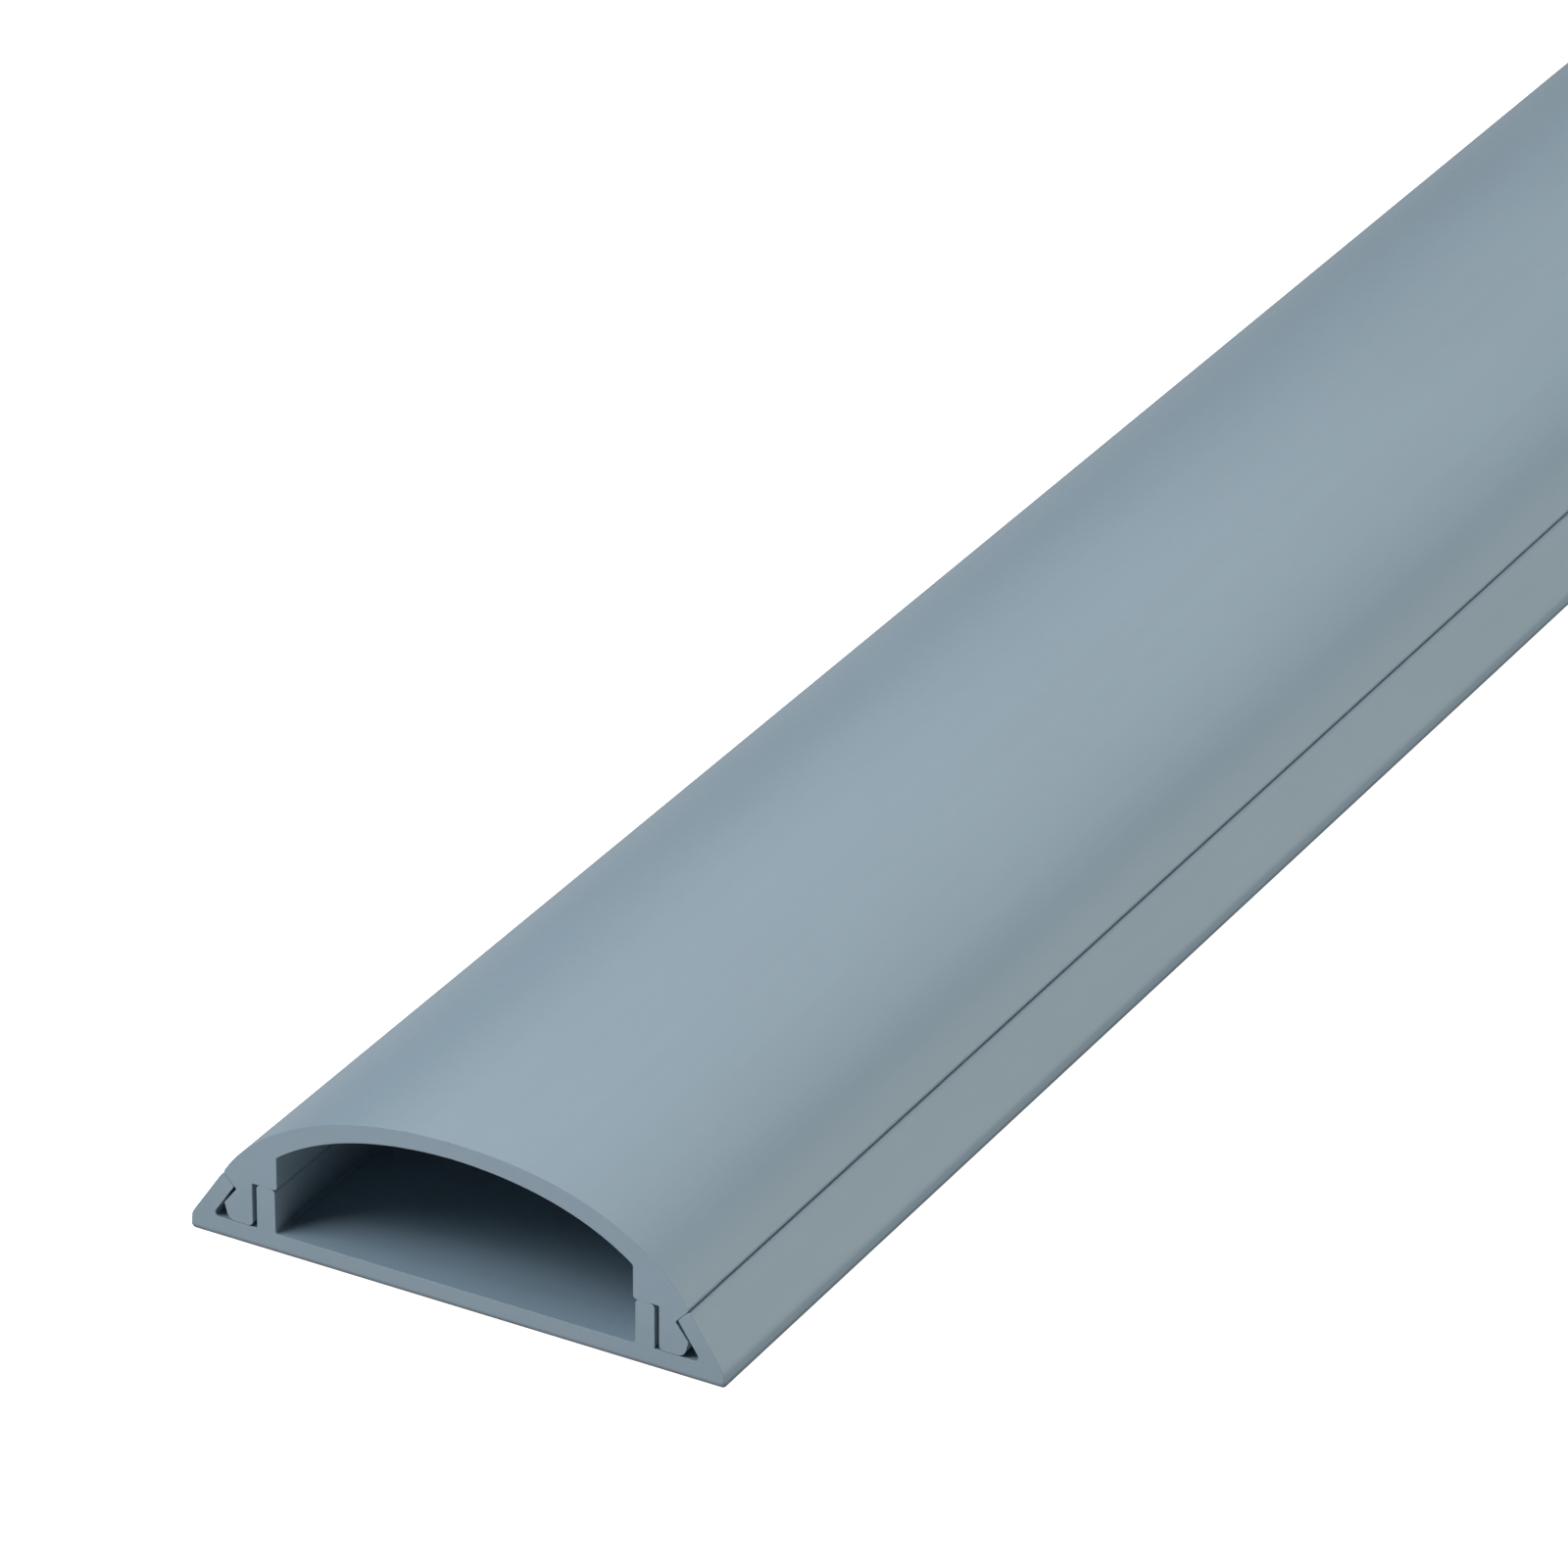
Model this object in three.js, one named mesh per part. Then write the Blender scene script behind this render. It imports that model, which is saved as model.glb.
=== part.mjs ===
import * as THREE from 'three';

// Floor cord cover: a domed cover rail clipped onto a flat base rail, two plastic extrusions.
// Millimetres. X is the width, Y the length, and Z points up from the floor.
// The origin is the middle of the underside.

// Overall sizes
const LENGTH = 1000;
const WIDTH = 60;
const HEIGHT = 18.3;

// Outer surface: a low upright toe, a straight flank, and a dome that leaves the flank smoothly.
// The pulls say how far the dome's ends reach towards the corner where crown and flank would meet.
// The land is the short straight stretch of flank that the cover keeps above the seam.
const TOE_HEIGHT = 1.5;
const FLANK_DEGREES = 56.5;
const SEAM_HEIGHT = 7.5;
const CROWN_PULL = 0.946;
const SHOULDER_PULL = 0.185;
const SHOULDER_LAND = 0.86;

// Base rail: its plate, the sloped wall of its ramp, and the lip that carries the cover
const PLATE_THICKNESS = 2.2;
const RAMP_WALL = 1.75;
const LIP_THICKNESS = 2.1;
const SEAT_HEIGHT = 7.1;
const JOINT_DEGREES = 47;

// Cover rail: its dome gets thicker from crown to shoulder, and its legs end in barbs
const CROWN_WALL = 1.8;
const SHOULDER_WALL = 2.5;
const SHOULDER_OVERHANG = 0.25;
const LEG_THICKNESS = 1.8;
const BARB_RISE = 1.8;
const BARB_LEAD_DEGREES = 75;

// Clearances between the two rails. The cover's shoulders rest on the lips with none.
const SEAM_GAP = 0.03;
const NECK_GAP = 0.35;
const BARB_GAP = 0.2;
const SLOT_GAP = 0.5;
const FOOT_GAP = 0.05;

// Rounded edges
const TOE_RADIUS = 2.5;
const SOLE_RADIUS = 0.5;
const SEAM_RADIUS = 0.4;
const NOSE_RADIUS = 0.2;
const NECK_RADIUS = 0.15;
const POCKET_RADIUS = 0.45;
const LIP_RADIUS = 0.45;
const CHANNEL_RADIUS = 0.3;
const SHOULDER_RADIUS = 0.35;
const HAUNCH_RADIUS = 0.4;
const BARB_RADIUS = 0.15;
const FOOT_RADIUS = 1;
const HEEL_RADIUS = 0.55;

// Smoothness of the faceted curves
const DOME_STEPS = 40;
const CEILING_STEPS = 26;
const ARC_STEP_DEGREES = 12;
const SEARCH_STEPS = 40;

const PLASTIC_COLOUR = 0x8c9eaa;
const PLASTIC_ROUGHNESS = 0.5;

const flankAngle = THREE.MathUtils.degToRad(FLANK_DEGREES);
const jointAngle = THREE.MathUtils.degToRad(JOINT_DEGREES);
const leadAngle = THREE.MathUtils.degToRad(BARB_LEAD_DEGREES);
const wedgeSine = Math.sin(flankAngle + jointAngle);

// The right flank at a height, moved inwards by an inset that is measured square to it
function flankPoint(height, inset = 0) {
  const retreat = (height - TOE_HEIGHT) / Math.tan(flankAngle) + inset / Math.sin(flankAngle);
  return new THREE.Vector2(WIDTH / 2 - retreat, height);
}

// A point of the sloping joint that starts on the flank at a height and runs inwards and down
function jointPoint(height, inset) {
  const travel = inset / wedgeSine;
  const inward = new THREE.Vector2(-Math.cos(jointAngle), -Math.sin(jointAngle));
  return flankPoint(height).addScaledVector(inward, travel);
}

// Shared places of the clip joint, all on the right side
const baseEdgeHeight = SEAM_HEIGHT - (SEAM_GAP * Math.sin(flankAngle)) / wedgeSine;
const neck = jointPoint(SEAM_HEIGHT, RAMP_WALL + NECK_GAP);
const legX = neck.x - LEG_THICKNESS;
const lipOuterX = legX - SLOT_GAP;
const lipInnerX = lipOuterX - LIP_THICKNESS;
const coverWallX = lipInnerX - SHOULDER_OVERHANG;
const footHeight = PLATE_THICKNESS + FOOT_GAP;
const barb = flankPoint(footHeight + BARB_RISE, RAMP_WALL + BARB_GAP);
const footX = barb.x - BARB_RISE / Math.tan(leadAngle);

// The dome's outer curve, from the crown to the flank just above the seam
function domeCurve() {
  const crown = new THREE.Vector2(0, HEIGHT);
  const meeting = flankPoint(HEIGHT);
  const end = flankPoint(SEAM_HEIGHT + SHOULDER_LAND);
  return new THREE.CubicBezierCurve(
    crown,
    crown.clone().lerp(meeting, CROWN_PULL),
    end.clone().lerp(meeting, SHOULDER_PULL),
    end,
  );
}

const dome = domeCurve();

// The dome's inner surface: the outer curve moved in by a wall that thickens as it tilts
function ceilingPoint(t) {
  const tangent = dome.getTangent(t);
  const normal = new THREE.Vector2(-tangent.y, tangent.x);
  const tilt = Math.atan2(normal.x, normal.y) / flankAngle;
  const wall = THREE.MathUtils.lerp(CROWN_WALL, SHOULDER_WALL, tilt);
  return dome.getPoint(t).addScaledVector(normal, -wall);
}

// Where the ceiling meets the cover's upright inner wall
function ceilingEnd() {
  let low = 0;
  let high = 1;
  for (let step = 0; step < SEARCH_STEPS; step += 1) {
    const middle = (low + high) / 2;
    if (ceilingPoint(middle).x < coverWallX) low = middle;
    else high = middle;
  }
  return low;
}

// An arc that rounds the corner at a tip, kept shorter than half of the edges beside it
function roundedCorner(before, tip, after, radius) {
  const toBefore = before.clone().sub(tip);
  const toAfter = after.clone().sub(tip);
  const room = Math.min(toBefore.length(), toAfter.length()) / 2;
  toBefore.normalize();
  toAfter.normalize();
  const halfAngle = Math.acos(THREE.MathUtils.clamp(toBefore.dot(toAfter), -1, 1)) / 2;
  const setback = Math.min(radius / Math.tan(halfAngle), room);
  const reach = setback / Math.cos(halfAngle);
  const centre = toBefore.clone().add(toAfter).setLength(reach).add(tip);
  const start = tip.clone().addScaledVector(toBefore, setback).sub(centre);
  const end = tip.clone().addScaledVector(toAfter, setback).sub(centre);
  const sweep = Math.atan2(start.cross(end), start.dot(end));
  const steps = Math.ceil(Math.abs(THREE.MathUtils.radToDeg(sweep)) / ARC_STEP_DEGREES);
  return Array.from({ length: steps + 1 }, (_, step) => {
    const origin = new THREE.Vector2(0, 0);
    return start.clone().rotateAround(origin, (sweep * step) / steps).add(centre);
  });
}

// A half section is a list of corners, each with its own radius. The ends stay on the centre line.
function corner(x, z, radius = 0) {
  return { point: new THREE.Vector2(x, z), radius };
}

function roundedOutline(corners) {
  return corners.flatMap(({ point, radius }, index) => {
    const before = corners[index - 1];
    const after = corners[index + 1];
    if (radius === 0 || !before || !after) return [point];
    return roundedCorner(before.point, point, after.point, radius);
  });
}

// Half of the base's section, from the middle of the underside round to the middle of the floor
function baseOutline() {
  const edge = flankPoint(baseEdgeHeight);
  const nose = jointPoint(baseEdgeHeight, RAMP_WALL);
  const pocketEnd = flankPoint(PLATE_THICKNESS, RAMP_WALL);
  return roundedOutline([
    corner(0, 0),
    corner(WIDTH / 2, 0, SOLE_RADIUS),
    corner(WIDTH / 2, TOE_HEIGHT, TOE_RADIUS),
    corner(edge.x, edge.y, SEAM_RADIUS),
    corner(nose.x, nose.y, NOSE_RADIUS),
    corner(pocketEnd.x, pocketEnd.y, POCKET_RADIUS),
    corner(lipOuterX, PLATE_THICKNESS),
    corner(lipOuterX, SEAT_HEIGHT, LIP_RADIUS),
    corner(lipInnerX, SEAT_HEIGHT, LIP_RADIUS),
    corner(lipInnerX, PLATE_THICKNESS, CHANNEL_RADIUS),
    corner(0, PLATE_THICKNESS),
  ]);
}

// Half of the cover's section, from the crown over the outside to the middle of the ceiling
function coverOutline() {
  const outside = dome.getPoints(DOME_STEPS).map(({ x, y }) => corner(x, y));
  const edge = flankPoint(SEAM_HEIGHT);
  const wallEnd = ceilingEnd();
  const ceiling = Array.from({ length: CEILING_STEPS + 1 }, (_, step) => {
    const { x, y } = ceilingPoint(wallEnd * (1 - step / CEILING_STEPS));
    return corner(x, y, step === 0 ? HAUNCH_RADIUS : 0);
  });
  return roundedOutline([
    ...outside,
    corner(edge.x, edge.y, SEAM_RADIUS),
    corner(neck.x, neck.y, NECK_RADIUS),
    corner(barb.x, barb.y, BARB_RADIUS),
    corner(footX, footHeight, FOOT_RADIUS),
    corner(legX, footHeight, HEEL_RADIUS),
    corner(legX, SEAT_HEIGHT, NECK_RADIUS),
    corner(coverWallX, SEAT_HEIGHT, SHOULDER_RADIUS),
    ...ceiling,
  ]);
}

// A rail: a half section, its mirror image, and the length that both run
function rail(name, half) {
  const mirrored = half.slice(1, -1).reverse().map(({ x, y }) => new THREE.Vector2(-x, y));
  const section = new THREE.Shape([...half, ...mirrored]);
  const geometry = new THREE.ExtrudeGeometry(section, { depth: LENGTH, bevelEnabled: false });
  const across = new THREE.Vector3(1, 0, 0);
  const up = new THREE.Vector3(0, 0, 1);
  const along = new THREE.Vector3(0, -1, 0);
  geometry.applyMatrix4(new THREE.Matrix4().makeBasis(across, up, along));
  const material = new THREE.MeshStandardMaterial({
    color: PLASTIC_COLOUR,
    roughness: PLASTIC_ROUGHNESS,
    metalness: 0,
  });
  const mesh = new THREE.Mesh(geometry, material);
  mesh.name = name;
  mesh.position.y = LENGTH / 2;
  return mesh;
}

const cordCover = new THREE.Group();
cordCover.add(rail('base', baseOutline()));
cordCover.add(rail('cover', coverOutline()));

export default cordCover;
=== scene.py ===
import math

import bpy
import numpy as np
from mathutils import Matrix, Vector

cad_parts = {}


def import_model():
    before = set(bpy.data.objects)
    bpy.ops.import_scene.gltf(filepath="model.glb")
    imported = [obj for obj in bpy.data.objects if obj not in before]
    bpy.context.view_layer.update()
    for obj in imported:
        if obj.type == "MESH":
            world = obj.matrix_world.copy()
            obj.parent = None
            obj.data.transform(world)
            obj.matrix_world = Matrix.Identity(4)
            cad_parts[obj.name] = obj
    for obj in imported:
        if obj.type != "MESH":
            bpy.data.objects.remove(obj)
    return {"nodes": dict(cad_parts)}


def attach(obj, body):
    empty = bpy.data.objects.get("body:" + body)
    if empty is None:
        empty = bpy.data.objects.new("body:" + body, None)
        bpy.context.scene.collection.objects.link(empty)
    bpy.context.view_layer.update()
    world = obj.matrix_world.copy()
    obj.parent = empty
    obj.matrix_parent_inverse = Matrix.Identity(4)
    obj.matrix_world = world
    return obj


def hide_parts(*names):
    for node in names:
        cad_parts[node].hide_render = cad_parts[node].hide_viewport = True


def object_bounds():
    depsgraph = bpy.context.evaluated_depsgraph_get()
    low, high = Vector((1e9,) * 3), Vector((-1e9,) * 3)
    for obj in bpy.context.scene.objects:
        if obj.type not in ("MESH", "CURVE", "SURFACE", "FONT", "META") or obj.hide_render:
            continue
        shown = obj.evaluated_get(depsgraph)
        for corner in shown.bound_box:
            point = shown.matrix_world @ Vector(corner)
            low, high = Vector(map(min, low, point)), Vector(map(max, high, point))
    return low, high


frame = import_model()
cad_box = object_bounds()

# A floor cord cover: two extruded plastic rails, clipped together and sawn square at both ends.
# Metres. X is the width, Y the length, and Z points up from the floor.

MM = 0.001
NEAR_END = cad_box[0].y
FAR_END = cad_box[1].y

# Camera, as the photograph was taken: the point on the floor that it aims at, how far off it
# stands, and its turn, tilt and roll
AIM = Vector((-24.71 * MM, NEAR_END + 108.71 * MM, 0.0))
DISTANCE = 0.98
TURN_DEGREES = 29.14
DOWN_DEGREES = 28.19
ROLL_DEGREES = 0.42
LENS_MM = 211.62
SENSOR_MM = 36.0
VIEW_LIMIT = 100.0

# Reading a section from its solid: how near the end a corner has to lie to be on the end face,
# and how many digits tell two corners apart
END_TOLERANCE = 1e-6
PLACE_DIGITS = 7

# Fine meshes: a tiny break on every sawn edge, and a larger one round the sawn foot of the base,
# which is the part of its section below the foot's top. The least lean keeps a sharp corner from
# being moved in too far.
EDGE_BREAK = 0.05 * MM
EDGE_BREAK_STEPS = 3
FOOT_BREAK = 0.4 * MM
FOOT_BREAK_STEPS = 6
FOOT_TOP = 0.6 * MM
LEAST_LEAN = 0.5
STATION_SPACING = 20.0 * MM
SHARP_DEGREES = 31.0

# Plastic. Shades multiply the colour; sizes and depths are real ones, and a stretch draws a
# noise out along the length. The noise range is the part of a noise that a surface uses.
PVC_COLOUR = (0.228, 0.306, 0.365)
NOISE_RANGE = (0.3, 0.7)
CLOUD_SIZE = 18.0 * MM
CLOUD_DETAIL = 3.0
CLOUD_STRETCH = 3.0
CLOUD_SHADES = (0.985, 1.015)
STREAK_SIZE = 1.6 * MM
STREAK_DETAIL = 2.0
STREAK_STRETCH = 60.0
STREAK_SHADES = (0.992, 1.008)
PEEL_SIZE = 0.7 * MM
PEEL_DETAIL = 2.0
PEEL_STRETCH = 1.6
PEEL_DEPTH = 0.0015 * MM
DIE_LINE_SIZE = 0.9 * MM
DIE_LINE_DETAIL = 1.0
DIE_LINE_STRETCH = 400.0
DIE_LINE_DEPTH = 0.003 * MM
SKIN_ROUGHNESS = (0.33, 0.38)
SAW_LEAN_DEGREES = 12.0
SAW_MARK_SIZE = (0.25 * MM, 5 * MM, 6 * MM)
SAW_DETAIL = 3.0
SAW_DEPTH = 0.006 * MM
CUT_ROUGHNESS = (0.42, 0.52)

# Painted shade: a darker line at the foot, as the heights where it starts and ends and its shade,
# and a slow change of shade up a sawn end, darker towards the bottom, as two heights and the shades
# there
SKIN_FOOT_PAINTED_SHADE = (0.15 * MM, 0.85 * MM, 0.15)
CUT_FOOT_PAINTED_SHADE = (0.1 * MM, 0.65 * MM, 0.2)
CUT_RISE_PAINTED_SHADE = (1.0 * MM, 9.0 * MM, 0.95, 1.03)

# Surroundings. The slope says how the ground's radiance changes with the direction it comes from.
WHITE = (1.0, 1.0, 1.0, 1.0)
SKY_LEVEL = 0.02
GROUND_LEVEL = 0.665
GROUND_SLOPE = (-0.238, -0.573, 0.0)
FLOOR_SIZE = 30.0
FLOOR_COLOUR = (0.9, 0.9, 0.9, 1.0)
FLOOR_ROUGHNESS = 0.9
FLOOR_GLOW = 1.0

# Lights: two long softboxes that run along the rails, one above and one beside them, and a
# square one in front. A span says where a long one starts and ends, measured from the near end,
# and its turn is from straight above. The square one's turn is from straight in front.
KEY_DISTANCE = 1.5
KEY_COLOUR = (0.98, 0.97, 0.935)
TOP_SPAN = (-0.4, 2.5)
TOP_TURN_DEGREES = -10.0
TOP_WIDTH = 3.2
TOP_RADIANCE = 1.275
SIDE_SPAN = (-0.12, 2.5)
SIDE_TURN_DEGREES = 75.0
SIDE_WIDTH = 1.4
SIDE_RADIANCE = 1.86
FILL_RISE_DEGREES = 50.0
FILL_TURN_DEGREES = -50.0
FILL_DISTANCE = 0.9
FILL_SIZE = (0.5, 0.5)
FILL_RADIANCE = 7.3
FILL_COLOUR = (0.95, 1.0, 1.06)


def camera():
    turn = Matrix.Rotation(math.radians(TURN_DEGREES), 4, "Z")
    tilt = Matrix.Rotation(math.radians(90 - DOWN_DEGREES), 4, "X")
    roll = Matrix.Rotation(math.radians(ROLL_DEGREES), 4, "Z")
    turned = turn @ tilt @ roll
    backwards = turned.to_3x3() @ Vector((0, 0, 1))
    lens = bpy.data.cameras.new("camera")
    lens.lens = LENS_MM
    lens.sensor_width = SENSOR_MM
    lens.clip_end = VIEW_LIMIT
    made = bpy.data.objects.new("camera", lens)
    made.matrix_world = Matrix.Translation(AIM + backwards * DISTANCE) @ turned
    bpy.context.scene.collection.objects.link(made)
    bpy.context.scene.camera = made


def end_edges(mesh):
    """The edges round the mesh's near end, as pairs of (x, z) that have the end on their left."""
    mesh.calc_loop_triangles()
    places = [vertex.co for vertex in mesh.vertices]
    nearest = min(place.y for place in places)
    edges = set()
    for triangle in mesh.loop_triangles:
        corners = [places[i] for i in triangle.vertices]
        if any(corner.y > nearest + END_TOLERANCE for corner in corners):
            continue
        a, b, c = [(round(p.x, PLACE_DIGITS), round(p.z, PLACE_DIGITS)) for p in corners]
        for edge in ((a, b), (b, c), (c, a)):
            if edge[::-1] in edges:
                edges.remove(edge[::-1])
            else:
                edges.add(edge)
    return edges


def end_outline(node):
    """The node's section as a closed loop of (x, z), anticlockwise as seen from the near end."""
    following = dict(end_edges(node.data))
    loop = [min(following)]
    while following[loop[-1]] != loop[0]:
        loop.append(following[loop[-1]])
    return np.array(loop)


def to_left(vectors):
    """The vectors, each turned by a quarter turn to its left."""
    return np.stack([-vectors[:, 1], vectors[:, 0]], axis=1)


def inset(loop, depth):
    """The loop moved inwards by a depth, each corner along the middle of its two edges' normals."""
    before = loop - np.roll(loop, 1, axis=0)
    after = np.roll(loop, -1, axis=0) - loop
    before /= np.linalg.norm(before, axis=1)[:, None]
    after /= np.linalg.norm(after, axis=1)[:, None]
    normals = to_left(before + after)
    normals /= np.linalg.norm(normals, axis=1)[:, None]
    lean = np.sum(normals * to_left(after), axis=1)
    return loop + normals * (depth / np.maximum(lean, LEAST_LEAN))[:, None]


def quarter(distance, radius):
    """How deep a quarter round of a radius still cuts in at a distance from the sawn end."""
    left = max(0.0, 1 - distance / radius)
    return radius * (1 - math.sqrt(1 - left * left))


def end_rings(loop):
    """The rings that shape a sawn end, as pairs of distance from the end and section there."""
    steps = [(EDGE_BREAK, i / EDGE_BREAK_STEPS) for i in range(EDGE_BREAK_STEPS + 1)]
    steps += [(FOOT_BREAK, i / FOOT_BREAK_STEPS) for i in range(1, FOOT_BREAK_STEPS + 1)]
    distances = sorted({radius * (1 - math.cos(math.pi / 2 * share)) for radius, share in steps})
    foot = loop[:, 1] < cad_box[0].z + FOOT_TOP
    rings = []
    for distance in distances:
        worn = quarter(distance, FOOT_BREAK)
        ring = inset(loop, quarter(distance, EDGE_BREAK))
        ring[foot] = inset(loop, worn)[foot]
        ring[:, 0] = np.clip(ring[:, 0], cad_box[0].x + worn, cad_box[1].x - worn)
        rings.append((distance, ring))
    return rings


def stations(loop):
    """The rail's rings from the near end to the far end, as pairs of place along Y and section."""
    ends = end_rings(loop)
    length = FAR_END - NEAR_END
    count = round(length / STATION_SPACING)
    near = [(NEAR_END + distance, ring) for distance, ring in ends]
    middle = [(NEAR_END + length * i / count, loop) for i in range(1, count)]
    far = [(FAR_END - distance, ring) for distance, ring in reversed(ends)]
    return near + middle + far


def rail_faces(count, size):
    """The faces of a count of rings of one size, all looking outwards, with the caps last."""
    last = (count - 1) * size
    faces = []
    for here in range(0, last, size):
        there = here + size
        for i in range(size):
            j = (i + 1) % size
            faces.append((there + i, there + j, here + j, here + i))
    faces.append(range(size))
    faces.append(range(last + size - 1, last - 1, -1))
    return [list(face) for face in faces]


def rail(name, skin, cut):
    """A rail with many stations along its length, from a sawn end to a sawn end."""
    loop = end_outline(frame["nodes"][name])
    rings = stations(loop)
    places = [(x, y, z) for y, ring in rings for x, z in ring]
    mesh = bpy.data.meshes.new(name + "_fine")
    mesh.from_pydata(places, [], rail_faces(len(rings), len(loop)))
    mesh.validate()
    mesh.shade_smooth()
    mesh.set_sharp_from_angle(angle=math.radians(SHARP_DEGREES))
    mesh.materials.append(skin)
    mesh.materials.append(cut)
    for cap in mesh.polygons[-2:]:
        cap.material_index = 1
    made = bpy.data.objects.new(name + "_rail", mesh)
    bpy.context.scene.collection.objects.link(made)
    weighted = made.modifiers.new("weighted", "WEIGHTED_NORMAL")
    weighted.keep_sharp = True
    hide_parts(name)
    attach(made, "root")


class Nodes:
    """A small helper that builds a node tree from left to right."""

    def __init__(self, tree):
        self.tree = tree

    def add(self, kind, inputs=(), **settings):
        node = self.tree.nodes.new("ShaderNode" + kind)
        for key, value in settings.items():
            setattr(node, key, value)
        for key, value in dict(inputs).items():
            if isinstance(value, bpy.types.NodeSocket):
                self.tree.links.new(value, node.inputs[key])
            else:
                node.inputs[key].default_value = value
        return node

    def combine(self, operation, first, second):
        return self.add("Math", {0: first, 1: second}, operation=operation).outputs[0]

    def height(self, place):
        return self.add("SeparateXYZ", {0: place}).outputs["Z"]


class Surface(Nodes):
    """The node tree of a material, with noises measured in the rail's own metres."""

    def __init__(self, name):
        self.material = bpy.data.materials.new(name)
        self.material.use_nodes = True
        super().__init__(self.material.node_tree)
        self.shader = self.tree.nodes["Principled BSDF"]
        self.place = self.add("TexCoord").outputs["Object"]

    def noise(self, place, scale, detail):
        """Noise at a place whose axes are first scaled, each by its own factor."""
        scaled = self.add("Mapping", {"Vector": place, "Scale": scale})
        seen = {"Vector": scaled.outputs[0], "Scale": 1.0, "Detail": detail}
        return self.add("TexNoise", seen).outputs["Fac"]

    def drawn_noise(self, size, detail, stretch):
        """Noise with features of a size in metres, drawn out along the length by a factor."""
        return self.noise(self.place, (1 / size, 1 / (size * stretch), 1 / size), detail)

    def ramp(self, value, start, end, low, high, kind="SMOOTHSTEP"):
        """A value carried from one range to another, and held at its ends."""
        spans = {"From Min": start, "From Max": end, "To Min": low, "To Max": high}
        node = self.add("MapRange", {"Value": value, **spans}, interpolation_type=kind)
        return node.outputs["Result"]

    def shade(self, foot):
        """Faint clouds and streaks of pigment, and painted shade: a darker line where the rail
        meets the floor.
        """
        clouds = self.drawn_noise(CLOUD_SIZE, CLOUD_DETAIL, CLOUD_STRETCH)
        streaks = self.drawn_noise(STREAK_SIZE, STREAK_DETAIL, STREAK_STRETCH)
        clouds = self.ramp(clouds, *NOISE_RANGE, *CLOUD_SHADES)
        streaks = self.ramp(streaks, *NOISE_RANGE, *STREAK_SHADES)
        # Painted shade: the colour grows darker towards the foot, where the rail meets the floor.
        painted_foot_shade = self.ramp(self.height(self.place), *foot, 1.0, "LINEAR")
        return self.combine("MULTIPLY", self.combine("MULTIPLY", clouds, streaks), painted_foot_shade)

    def tint(self, colour, shade):
        """A colour made lighter or darker by a shade about one, into the shader's base colour."""
        node = self.add("VectorMath", {0: colour, "Scale": shade}, operation="SCALE")
        self.tree.links.new(node.outputs[0], self.shader.inputs["Base Color"])

    def roughness(self, value, low, high):
        rough = self.ramp(value, *NOISE_RANGE, low, high)
        self.tree.links.new(rough, self.shader.inputs["Roughness"])

    def bump(self, *layers):
        """Layers of height, each a value with its depth in metres, one over the other."""
        normal = None
        for value, depth in layers:
            seen = {"Height": value, "Distance": depth, "Strength": 1.0}
            if normal:
                seen["Normal"] = normal
            normal = self.add("Bump", seen).outputs["Normal"]
        self.tree.links.new(normal, self.shader.inputs["Normal"])


def pvc_skin():
    """Satin extruded plastic: pigment clouds, faint lines from the die, very fine orange peel."""
    surface = Surface("pvc_skin")
    surface.tint(PVC_COLOUR, surface.shade(SKIN_FOOT_PAINTED_SHADE))
    peel = surface.drawn_noise(PEEL_SIZE, PEEL_DETAIL, PEEL_STRETCH)
    lines = surface.drawn_noise(DIE_LINE_SIZE, DIE_LINE_DETAIL, DIE_LINE_STRETCH)
    surface.roughness(peel, *SKIN_ROUGHNESS)
    surface.bump((lines, DIE_LINE_DEPTH), (peel, PEEL_DEPTH))
    return surface.material


def pvc_cut():
    """The same plastic where a saw went through it: duller, with fine marks across the cut."""
    surface = Surface("pvc_cut")
    # Painted shade: the sawn end is darker towards the bottom and a little lighter higher up.
    rise = surface.ramp(surface.height(surface.place), *CUT_RISE_PAINTED_SHADE)
    surface.tint(PVC_COLOUR, surface.combine("MULTIPLY", surface.shade(CUT_FOOT_PAINTED_SHADE), rise))
    lean = (0, math.radians(SAW_LEAN_DEGREES), 0)
    leaning = surface.add("Mapping", {"Vector": surface.place, "Rotation": lean}).outputs[0]
    marks = surface.noise(leaning, [1 / size for size in SAW_MARK_SIZE], SAW_DETAIL)
    surface.roughness(marks, *CUT_ROUGHNESS)
    surface.bump((marks, SAW_DEPTH))
    return surface.material


def floor():
    """A white floor that only the camera sees: it lights nothing, and no shadow shows on it."""
    bpy.ops.mesh.primitive_plane_add(size=FLOOR_SIZE, location=(0, 0, 0))
    made = bpy.context.object
    made.name = "floor"
    material = bpy.data.materials.new("floor")
    material.use_nodes = True
    shader = material.node_tree.nodes["Principled BSDF"]
    shader.inputs["Base Color"].default_value = FLOOR_COLOUR
    shader.inputs["Roughness"].default_value = FLOOR_ROUGHNESS
    shader.inputs["Specular IOR Level"].default_value = 0.0
    shader.inputs["Emission Color"].default_value = WHITE
    shader.inputs["Emission Strength"].default_value = FLOOR_GLOW
    made.data.materials.append(material)
    made.visible_glossy = False
    made.visible_diffuse = False
    made.visible_shadow = False


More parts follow.
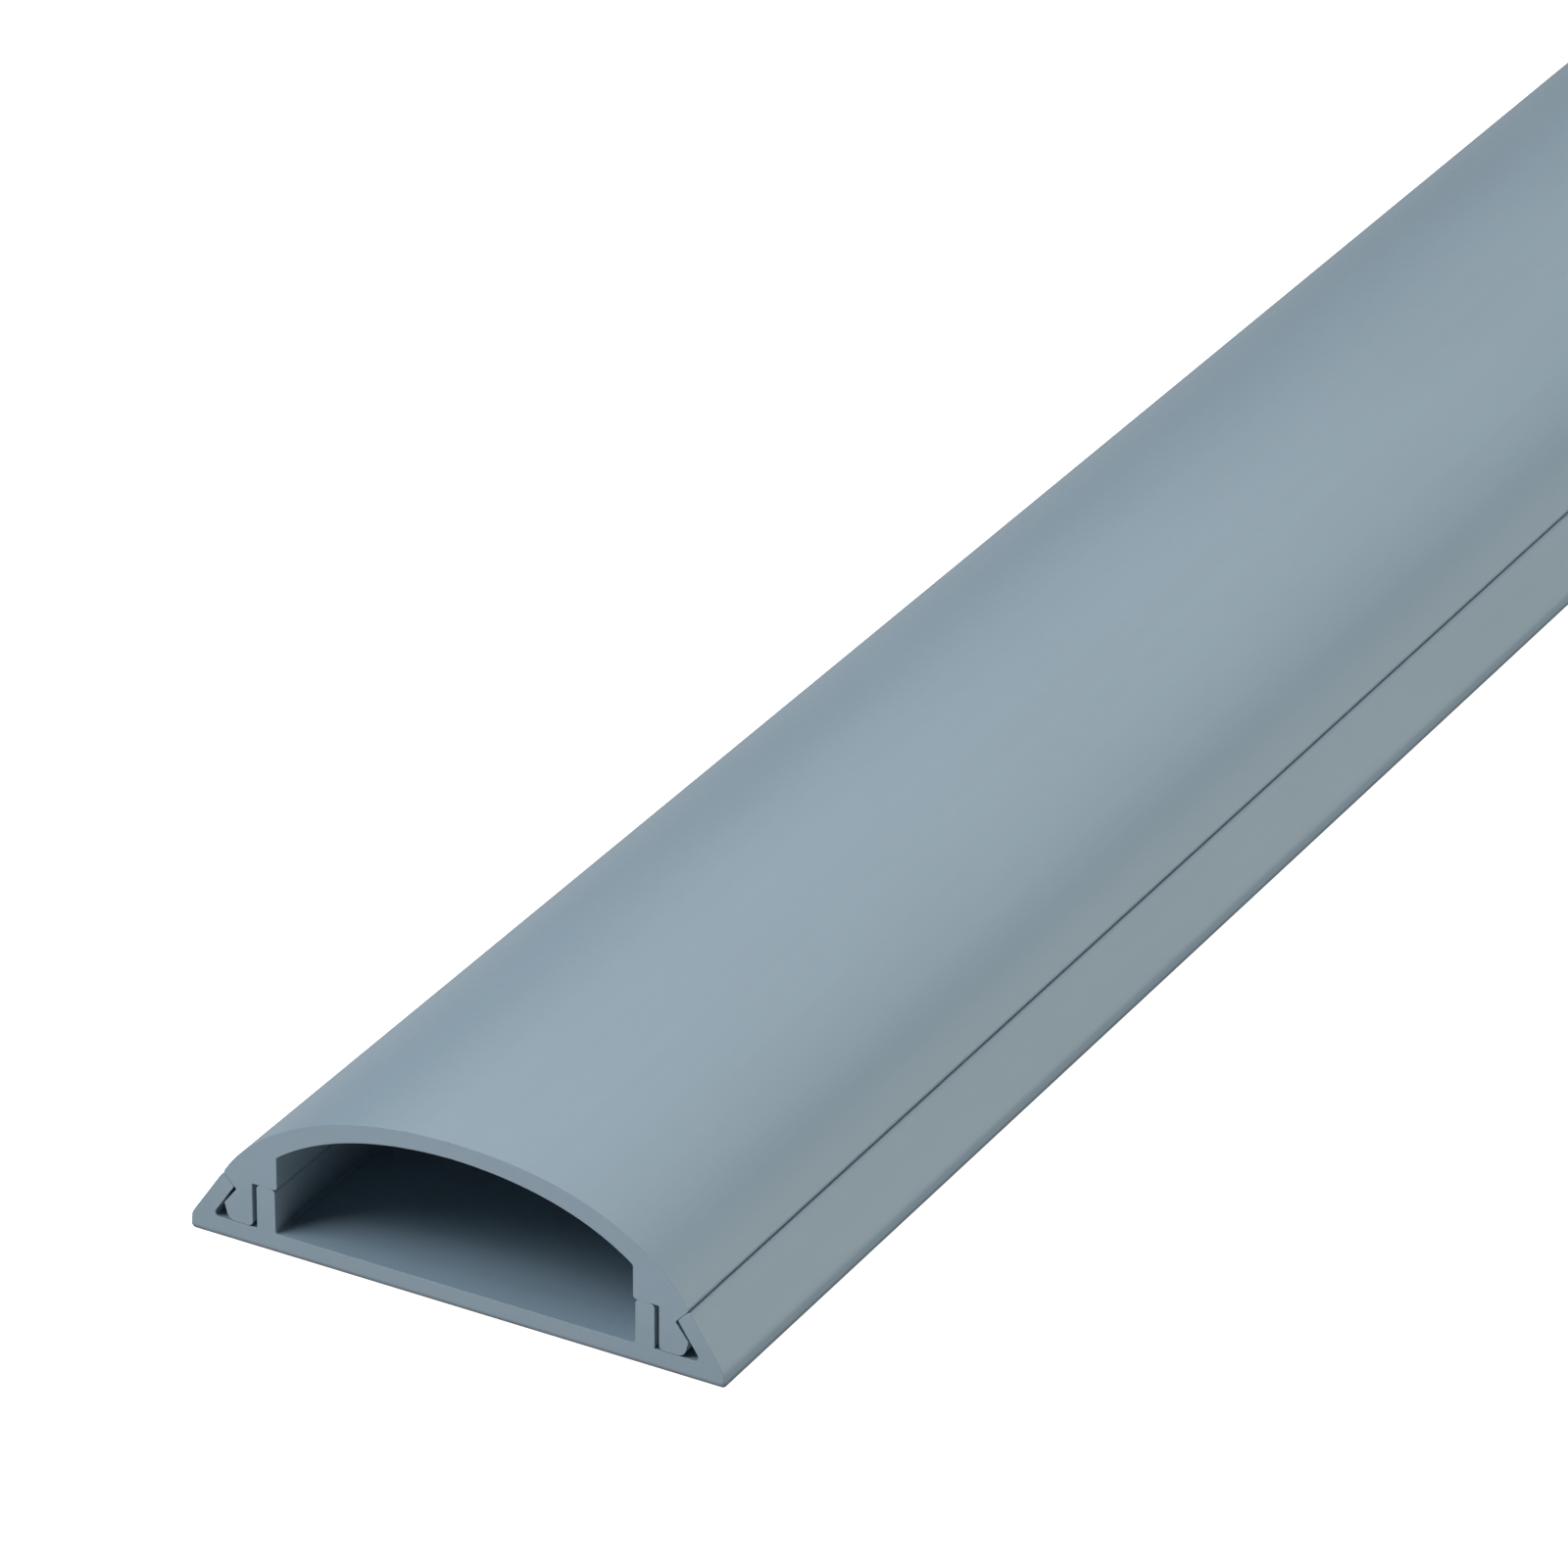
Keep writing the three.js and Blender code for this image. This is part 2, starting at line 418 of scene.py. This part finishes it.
def softbox(name, place, turned, size, radiance, colour):
    """A rectangular light that shines along its own -Z, with the radiance that its face shows."""
    light = bpy.data.lights.new(name, "AREA")
    light.shape = "RECTANGLE"
    light.size, light.size_y = size
    light.energy = radiance * math.pi * size[0] * size[1]
    light.color = colour
    made = bpy.data.objects.new(name, light)
    made.matrix_world = Matrix.Translation(place) @ turned
    bpy.context.scene.collection.objects.link(made)


def key_light(name, degrees, width, span, radiance):
    """A long softbox, turned about the rails' length by an angle from straight above."""
    turn = math.radians(degrees)
    along = NEAR_END + sum(span) / 2
    place = Vector((KEY_DISTANCE * math.sin(turn), along, KEY_DISTANCE * math.cos(turn)))
    size = (width, span[1] - span[0])
    softbox(name, place, Matrix.Rotation(turn, 4, "Y"), size, radiance, KEY_COLOUR)


def fill_light():
    """A square softbox in front of the near end, to one side of it and above it."""
    rise, turn = math.radians(FILL_RISE_DEGREES), math.radians(FILL_TURN_DEGREES)
    level = math.cos(rise)
    away = Vector((level * math.sin(turn), -level * math.cos(turn), math.sin(rise)))
    turned = away.to_track_quat("Z", "Y").to_matrix().to_4x4()
    place = Vector((0, NEAR_END, 0)) + away * FILL_DISTANCE
    softbox("fill", place, turned, FILL_SIZE, FILL_RADIANCE, FILL_COLOUR)


def world():
    """A plain dark sky above a ground whose radiance changes evenly with direction."""
    made = bpy.data.worlds.new("studio")
    made.use_nodes = True
    nodes = Nodes(made.node_tree)
    direction = nodes.add("TexCoord").outputs["Generated"]
    along = nodes.add("VectorMath", {0: direction, 1: GROUND_SLOPE}, operation="DOT_PRODUCT")
    ground = nodes.combine("ADD", along.outputs["Value"], GROUND_LEVEL)
    above = nodes.combine("GREATER_THAN", nodes.height(direction), 0.0)
    mix = nodes.add("Mix", {"Factor": above, "A": ground, "B": SKY_LEVEL})
    background = nodes.tree.nodes["Background"]
    background.inputs["Color"].default_value = WHITE
    nodes.tree.links.new(mix.outputs["Result"], background.inputs["Strength"])
    bpy.context.scene.world = made


camera()
world()
floor()
skin, cut = pvc_skin(), pvc_cut()
rail("base", skin, cut)
rail("cover", skin, cut)
key_light("key_top", TOP_TURN_DEGREES, TOP_WIDTH, TOP_SPAN, TOP_RADIANCE)
key_light("key_side", SIDE_TURN_DEGREES, SIDE_WIDTH, SIDE_SPAN, SIDE_RADIANCE)
fill_light()
bpy.context.scene.view_settings.view_transform = "Standard"
